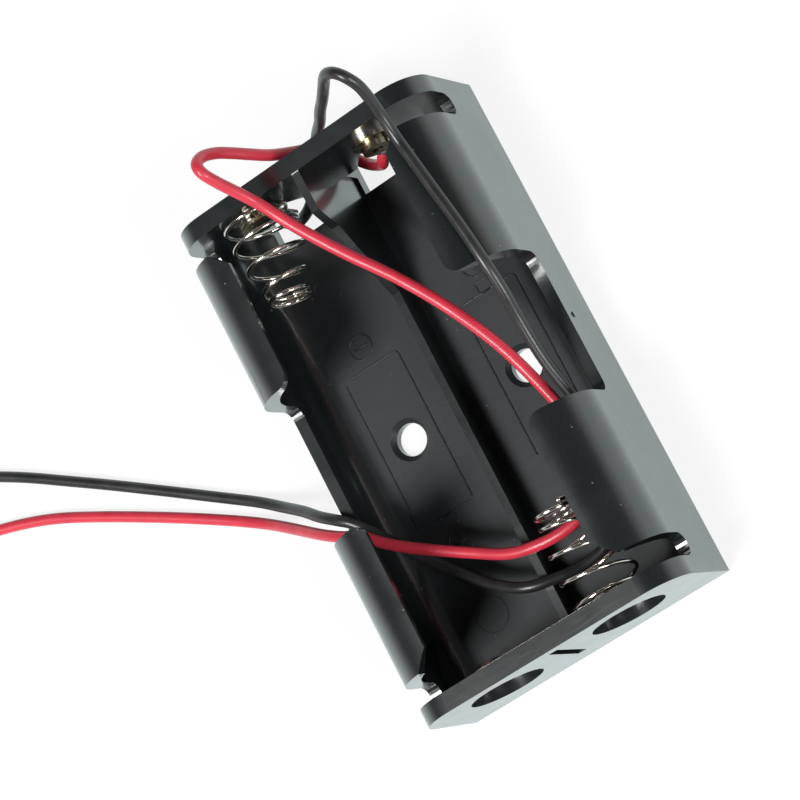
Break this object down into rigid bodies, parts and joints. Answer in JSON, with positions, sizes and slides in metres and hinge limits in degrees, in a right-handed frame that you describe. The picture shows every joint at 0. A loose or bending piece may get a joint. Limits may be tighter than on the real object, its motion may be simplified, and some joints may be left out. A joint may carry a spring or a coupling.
{
  "type": "cylindrical cell holder",
  "caption": "Open moulded tray that holds cylindrical cells side by side between coil springs and button contacts, with a red and a black wire lead.",
  "frame": {"origin": "centre of the tray's underside", "axes": "+Z towards the open side that the cells go in by, +Y towards the end that the leads leave from, +X to the right with the leads' end away from the viewer"},
  "size_m": [0.0868, 0.0615, 0.0228],
  "materials": {
    "black_plastic": "satin black moulding",
    "plated_steel": "nickel plated",
    "spring_wire": "bright nickel plated wire",
    "rivet_metal": "dull plated",
    "solder": "tinned",
    "black_insulation": "smooth soft insulation",
    "red_insulation": "smooth soft insulation"
  },
  "bodies": {
    "tray": {"housing": "black_plastic", "link_plate": "plated_steel", "rivet_1": "rivet_metal", "rivet_2": "rivet_metal", "tag_1": "plated_steel", "tag_2": "plated_steel", "solder_1": "solder", "solder_2": "solder", "lead_black": "black_insulation", "lead_red": "red_insulation", "tinned_black": "solder", "tinned_red": "solder"},
    "spring_1": {"spring_1": "spring_wire"},
    "spring_2": {"spring_2": "spring_wire"}
  },
  "joints": [
    {"name": "spring_1_press", "type": "slide", "parent": "tray", "child": "spring_1", "axis": [0, 1, 0], "range_m": [0, 0.005], "stiffness_N_per_m": 400, "deforming": ["spring_1"]},
    {"name": "spring_2_press", "type": "slide", "parent": "tray", "child": "spring_2", "axis": [0, -1, 0], "range_m": [0, 0.005], "stiffness_N_per_m": 400, "deforming": ["spring_2"]}
  ]
}
